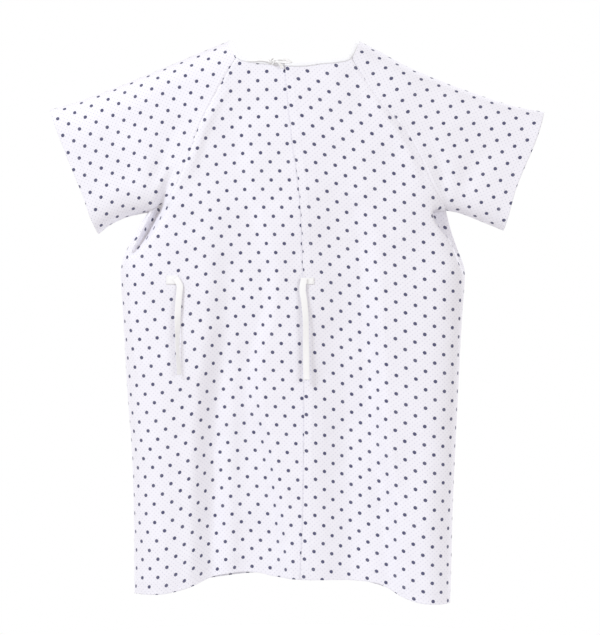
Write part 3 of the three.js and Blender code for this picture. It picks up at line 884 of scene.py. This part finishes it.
def hem_of(name, grid, bend, nodes, wrap=False):
    """A turned-up hem inside the last edge of a grid, and the stitches that hold it, seen from outside."""
    strip = inset(grid, HEM_STEPS, -(CLOTH + LINING_GAP), True, wrap)
    cut = plain_cut(strip)
    if wrap:
        cut = np.concatenate([cut, cut[:, -1:] * [1, 0] + [4, 0] + cut[:, :1] * [0, 1]], axis=1)
    hem = shell(f"{name}_fold", strip, cut, REVERSE_LOOK, CLOTH, wrap)
    face = CLOTH / 2 + THREAD_LIFT
    line, raised = (inset(grid, [HEM_DEPTH - STITCH_IN], out, True, wrap)[0] for out in (face, face + 1))
    if wrap:
        line, raised = (np.concatenate([way, way[:1]]) for way in (line, raised))
    rows = stitches(f"{name}_stitches", line, raised - line)
    for piece, stood_for in ((hem, nodes), (rows, [])):
        if bend:
            bent(piece, stood_for)
        else:
            finished(piece, "yoke", stood_for)
    return [hem, rows]


cloth, extras = {}, {}
for side in (LEFT, RIGHT):
    hand, grid = HAND[side], BACK_GRID[side]
    part = f"{hand}_back"
    cut = print_cut(grid, side)
    cloth[part] = bent(shell(f"{part}_cloth", grid, cut, CLOTH_LOOK),
                       [f"{hand}_back_panel_upper", f"{hand}_back_panel_lower"])
    edge = under_cloth(grid)[FACING_ROWS, :FACING_COLUMNS]
    facing = bent(shell(f"{hand}_edge_facing", edge, plain_cut(edge), REVERSE_LOOK),
                  [f"{hand}_edge_facing_upper", f"{hand}_edge_facing_lower"])
    normal = normals(grid)[FACING_ROWS, FACING_STITCH]
    line = grid[FACING_ROWS, FACING_STITCH] + normal * (CLOTH / 2 + THREAD_LIFT)
    rows = bent(stitches(f"{hand}_edge_stitches", line, normal))
    extras[part] = [facing, rows] + hem_of(f"{hand}_back_hem", grid, part, [f"{hand}_back_hem"])

    part = f"{hand}_sleeve"
    grid = SLEEVE_GRID[side]
    cloth[part] = bent(shell(f"{part}_cloth", grid, SLEEVE_CUT[side], CLOTH_LOOK, wrap=True),
                       [f"{hand}_sleeve_upper", f"{hand}_sleeve_lower"])
    extras[part] = hem_of(f"{hand}_cuff", grid, part, [f"{hand}_sleeve_hem"], True)

cloth["front"] = finished(
    shell("front_cloth", FRONT_GRID, panel_cut(FRONT_GRID, FRONT_GRID.shape[1] // 2), CLOTH_LOOK), "yoke",
    ["front_panel"])
extras["front"] = hem_of("front_hem", FRONT_GRID, None, ["front_hem"])


# Seam allowances inside: the two edges overlocked together.
SEAM_STEPS = np.array([0.9, 3.0, 5.0, 7.0, 9.0])
SEAM_THICKNESS = 1.1


def beside(line, gap=0.0):
    """Rows of points beside a flat line, on its right as it runs, the width of a seam allowance."""
    ahead = unit(np.gradient(line, axis=0))
    aside = np.stack([ahead[:, 1], -ahead[:, 0]], axis=1)
    return np.stack([line + (step + gap) * aside for step in SEAM_STEPS])


for side in (LEFT, RIGHT):
    hand = HAND[side]
    for face, where in ((BACK, "back"), (FRONT, "front")):
        flat = beside(spaced(OUTLINE[side][face], 160)[6:-5])
        x, z = side * flat[..., 0], flat[..., 1]
        stand = lifted(x) if (side, face) == (RIGHT, BACK) else 0.0
        strip = under_cloth(surface(x, z, face, stand), False, 1.2)
        piece = shell(f"{hand}_{where}_raglan_allowance", strip, plain_cut(strip), [SEAM_LOOK], 1.2)
        nodes = [f"{hand}_{where}_raglan_seam"]
        if face == BACK:
            extras[f"{hand}_back"].append(bent(piece, nodes))
        else:
            extras["front"].append(finished(piece, "yoke", nodes))

    line = spaced(OUTLINE[side]["side"], 200)
    line = line[(line[:, 1] < -372) & (line[:, 1] > SIDE[side][-1][1] + 29)]
    flat = beside(line, 1.0)
    wave = 0.35 * np.sin(flat[..., 1] / 23) * (SEAM_STEPS[:, None] / SEAM_STEPS[-1])
    strip = np.stack([side * flat[..., 0], wave, flat[..., 1]], axis=-1)
    piece = shell(f"{hand}_side_allowance", strip, plain_cut(strip), [SEAM_LOOK], SEAM_THICKNESS)
    extras["front"].append(finished(piece, "yoke", [f"{hand}_side_seam"]))

    line = spaced(OUTLINE[side]["under"], 40)[3:-8]
    flat = beside(line[::-1], 1.0)[:, ::-1]
    strip = np.stack([side * flat[..., 0], 0 * flat[..., 0], flat[..., 1]], axis=-1)
    piece = shell(f"{hand}_underarm_allowance", strip, plain_cut(strip), [SEAM_LOOK], SEAM_THICKNESS)
    extras[f"{hand}_sleeve"].append(bent(piece, [f"{hand}_underarm_seam"]))


# Neck binding: a tape folded over the whole neck edge. Each point of its section is given by how far it lies
# from the edge along the cloth, and how far out from the cloth.
SECTION = [(7.8, 1.25), (5, 1.4), (2, 1.4), (0, 1.35), (-0.8, 0.95), (-1.15, 0), (-0.8, -0.95), (0, -1.35),
           (2, -1.4), (5, -1.4), (7.8, -1.25), (7.8, -0.7), (4, -0.7), (0.3, -0.66), (-0.3, 0), (0.3, 0.66),
           (4, 0.7), (7.8, 0.7)]
FOLD = 3  # the point of the section at the neck edge


def stations(grid, wrap=False):
    """Where each point of the binding's section is, for every column of a grid, along its first row."""
    normal, reach = normals(grid, wrap), lengths(grid, 0)
    found = np.zeros((grid.shape[1], len(SECTION), 3))
    for c in range(grid.shape[1]):
        rise = unit(grid[0, c] - grid[1, c])
        for k, (along_cloth, out) in enumerate(SECTION):
            at, up = (sample(way[:, c], reach[:, c], along_cloth) for way in (grid, normal))
            found[c, k] = at + out * up + rise * max(0.0, -along_cloth)
    return found


def neck_path():
    """Every station round the neck, from the inner panel's free edge to the outer panel's."""
    panel = {side: stations(BACK_GRID[side]) for side in (LEFT, RIGHT)}
    sleeve_top = {}
    for side in (LEFT, RIGHT):
        middle = SLEEVE_GRID[side].shape[1] // 2
        around = stations(SLEEVE_GRID[side], True)
        sleeve_top[side] = around[middle - NECK_COLUMNS:middle + NECK_COLUMNS + 1]
    path = np.concatenate([panel[LEFT], sleeve_top[LEFT][::-1], stations(FRONT_GRID), sleeve_top[RIGHT],
                           panel[RIGHT][::-1]])
    gaps = np.linalg.norm(np.diff(path[:, FOLD], axis=0), axis=1)
    path = path[np.concatenate([[True], gaps > 0.25])]
    for _ in range(3):
        path[1:-1] = 0.25 * path[:-2] + 0.5 * path[1:-1] + 0.25 * path[2:]
    reach = reach_of(path[:, FOLD])
    count = int(420 * QUICK)
    path = sample(path.reshape(len(path), -1), reach, np.linspace(0, reach[-1], count)).reshape(count, -1, 3)
    start, end = path[0] + 0.9 * unit(path[0] - path[3]), path[-1] + 0.9 * unit(path[-1] - path[-4])
    return np.concatenate([start[None], path, end[None]])


neck = neck_path()
neck_reach, section_place = reach_of(neck[:, FOLD]), np.array([place for place, _ in SECTION])
binding = sweep("neck_binding_tape", neck,
                lambda row, col: (neck_reach[row], section_place[col % len(SECTION)]), BINDING_LOOK)
finished(binding, "yoke", ["neck_binding"])
stitch_line = neck[:, 1] * 0.6 + neck[:, 0] * 0.4
binding_stitches = stitches("neck_binding_stitches", stitch_line, unit(neck[:, 1] - neck[:, 9]))
finished(binding_stitches, "yoke", [])


# Ties.
TIE_WIDTH, TIE_THICKNESS = 13.2, 1.0
TACK_STITCH_BOX = [(1, 1), (1, -2), (-2, -2), (-2, 1), (1, 1), (-2, -2)]


def cloth_at(x, z):
    """How far out the back's cloth is at one place."""
    return surface(np.array([x]), np.array([z]), BACK, lifted(x) if x > -20 else 0.0)[0, 1]


def leaning(line, lean):
    """Vectors across a line, turned about it by those angles down its length, in degrees."""
    turn = np.radians(spread(lean, np.linspace(0, 1, len(line))))[:, None]
    tangent = unit(np.gradient(line, axis=0))
    side = unit(np.cross(tangent, [0, -1, 0]))
    return np.cos(turn) * side + np.sin(turn) * np.cross(side, tangent)


def waist_tie(hand, places, stand, lean, patch):
    """A tie that hangs by those places in x and z, out by stand, and its stitched end on a patch of cloth."""
    path = curve(places, 90)
    out = cloth_at(*path[0]) - spread(stand, np.linspace(0, 1, len(path)))
    line = np.stack([path[:, 0], out, path[:, 1]], axis=1)
    tie = tube(f"{hand}_waist_tie_tape", line, leaning(line, lean), TIE_WIDTH / 2, TIE_THICKNESS / 2)
    finished(tie, f"{hand}_waist_tie_body", [f"{hand}_waist_tie"])
    x, z = np.meshgrid(np.linspace(*patch[:2], 12), np.linspace(*patch[2:], 9))
    grid = surface(x, z, BACK, LIFT if hand == "right" else 0.0)
    grid = grid + normals(grid) * (CLOTH / 2 + 0.15 + TIE_THICKNESS / 2)
    tack = shell(f"{hand}_waist_tack", grid, plain_cut(grid), [TAPE_LOOK], TIE_THICKNESS)
    finished(tack, f"{hand}_back_flap", [f"{hand}_waist_tie_tack"])
    up = normals(grid)
    line = np.array([grid[corner] + up[corner] * 0.6 for corner in TACK_STITCH_BOX])
    seam = stitches(f"{hand}_waist_tack_stitches", line,
                    np.array([up[corner] for corner in TACK_STITCH_BOX]), 2.2, 1.6)
    finished(seam, f"{hand}_back_flap", [])
    return tie, tack, seam


waist = {
    "right": waist_tie("right", [(21, -494), (17.8, -517), (21.4, -545), (24.2, -580), (24.8, -640),
                                 (25.6, -703)],
                       [3.2, 3.9, 5.3, 5.7, 5.5, 5.1], [0, 4, 16, 22, 14, 6, 4], (19.5, 41.5, -493, -507)),
    "left": waist_tie("left", [(-243, -494), (-237, -502), (-233.5, -511), (-234.5, -522), (-236.5, -545),
                               (-238, -575), (-238, -640), (-234.5, -692)],
                      [3.2, 3.7, 5.0, 7.4, 8.2, 8.1], [0, 4, 14, 36, 56, 58, 50], (-262, -238, -489, -507)),
}


def neck_strand(name, points, half_width, half_thick, lean, node=None):
    """A strand of the neck tie through points in x, y and z, leaning about its length by those angles."""
    count = 70
    p = np.array(points, float)
    flat, reach = curve(p[:, [0, 2]], count), reach_of(p[:, [0, 2]])
    out = np.interp(np.linspace(0, reach[-1], count), reach, p[:, 1])
    line = spaced(np.stack([flat[:, 0], out, flat[:, 1]], axis=1), count)
    piece = tube(name, line, leaning(line, lean), spread(half_width, np.linspace(0, 1, count)), half_thick)
    return finished(piece, "yoke", [node] if node else [])


# The knot is one tape that winds three times through itself, with a strand to each side, a loop and a tail.
KNOT = np.array([-46.0, cloth_at(-46.0, -56.0) - 4.6, -50.0])
KNOT_TILT = np.array([[0.87, 0, 0.5], [0, 1, 0], [-0.5, 0, 0.87]])
turn = np.linspace(0, 2 * math.pi, 120, endpoint=False)
loop = np.stack([(np.sin(turn) + 2 * np.sin(2 * turn)) * 2.1, np.sin(3 * turn) * 1.7,
                 (np.cos(turn) - 2 * np.cos(2 * turn)) * 1.9], axis=1) @ KNOT_TILT
across = np.cross(unit(np.gradient(loop, axis=0)), unit(loop * [1, 0, 1]))
knot = tube("neck_knot_wrap", loop + KNOT, across, 2.3, 1.0, True)
finished(knot, "yoke", ["neck_tie_knot"])

Y = KNOT[1]
neck_ties = [
    neck_strand("left_neck_tie_strand",
                [(-98, Y + 2.4, -47), (-82, Y + 2, -47.5), (-68, Y + 1.6, -47), (-56, Y + 1, -48.5),
                 (-48, Y, -50)],
                [2.6, 3.2, 3.0, 2.8], 0.7, [4, 18, 34, 20, 10], "left_neck_tie_end"),
    neck_strand("right_neck_tie_strand",
                [(-47, Y, -48.5), (-38, Y - 1.4, -45.6), (-29, Y - 2.2, -44.4), (-20, Y - 2.6, -44.2),
                 (-13, Y - 2.6, -48), (-6, Y - 1.6, -52.4)],
                [2.8, 3.4, 3.9, 3.9, 3.3, 2.4], 0.7, [0, 22, 38, 30, -20, -8], "right_neck_tie_end"),
    neck_strand("neck_tie_loop",
                [(-7, Y - 0.4, -52.6), (-17, Y - 0.9, -52), (-28, Y - 0.6, -50.6), (-38, Y - 0.2, -51.4),
                 (-46, Y, -52.4)],
                [2.4, 3.0, 3.2, 2.8, 2.4], 0.6, [0, -14, -24, -12, 0]),
    neck_strand("neck_tie_tail",
                [(-37, Y - 1.6, -49), (-32, Y - 3, -52), (-27, Y - 2.6, -58), (-23, Y - 0.8, -65)],
                [2.2, 2.8, 3.3, 3.6], 0.5, [0, 26, 44, 24, 8]),
]


# Stage: a pale floor, soft lights and the camera.
floor = bpy.data.meshes.new("floor")
FLOOR_RADIUS, FLOOR_HEIGHT = 1.3, -1.42
turns = np.linspace(0, 2 * math.pi, 96, endpoint=False)
rim = [(FLOOR_RADIUS * math.cos(turn), FLOOR_RADIUS * math.sin(turn), 0) for turn in turns]
floor.from_pydata(rim, [], [list(range(len(rim)))])
floor = bpy.data.objects.new("floor", floor)
floor.location.z = FLOOR_HEIGHT
bpy.context.scene.collection.objects.link(floor)
paint = Nodes("floor_paint")
place = paint.new("ShaderNodeTexCoord").outputs["Object"]
shades = paint.blend(paint.noise(place, 3.0), rgb(250, 250, 250), rgb(246, 246, 247))
paint.put(paint.shader.inputs["Base Color"], shades)
paint.shader.inputs["Roughness"].default_value = 0.9
floor.data.materials.append(paint.material)

world = bpy.data.worlds.new("studio")
world.use_nodes = True
seen = world.node_tree.nodes["Background"]
seen.inputs["Color"].default_value = (1, 1, 1, 1)
glow = world.node_tree.nodes.new("ShaderNodeBackground")
glow.inputs["Color"].default_value = (1, 0.94, 0.88, 1)
glow.inputs["Strength"].default_value = 0.65
either = world.node_tree.nodes.new("ShaderNodeMixShader")
rays = world.node_tree.nodes.new("ShaderNodeLightPath")
world.node_tree.links.new(rays.outputs["Is Camera Ray"], either.inputs["Fac"])
world.node_tree.links.new(glow.outputs[0], either.inputs[1])
world.node_tree.links.new(seen.outputs[0], either.inputs[2])
world.node_tree.links.new(either.outputs[0], world.node_tree.nodes["World Output"].inputs["Surface"])
bpy.context.scene.world = world


# The lamps are a little blue and the glow a little warm, so that lit cloth is neutral and shadows are warm.
def light(name, place, aim, size, power):
    lamp = bpy.data.lights.new(name, "AREA")
    lamp.shape = "DISK"
    lamp.size = size
    lamp.energy = power
    lamp.color = (0.885, 0.94, 1.0)
    lamp = bpy.data.objects.new(name, lamp)
    lamp.location = place
    lamp.rotation_euler = (Vector(aim) - Vector(place)).to_track_quat("-Z", "Y").to_euler()
    bpy.context.scene.collection.objects.link(lamp)


light("key", (-2.5, -2.1, 1.6), (0, 0, -0.45), 1.2, 81.4)
light("fill", (2.5, -2.8, 0.4), (0, 0, -0.6), 1.8, 35)
light("front_key", (2.5, 2.1, 1.6), (0, 0, -0.45), 1.2, 65.5)
light("front_fill", (-2.5, 2.9, 0.3), (0, 0, -0.6), 1.8, 29.4)

camera = bpy.data.objects.new("camera", bpy.data.cameras.new("camera"))
camera.location = (0.0125, -4.05, -0.575)
camera.rotation_euler = (math.pi / 2, 0, 0)
camera.data.lens = 110.5
camera.data.sensor_width = 36
bpy.context.scene.collection.objects.link(camera)
bpy.context.scene.camera = camera
bpy.context.scene.view_settings.view_transform = "Standard"
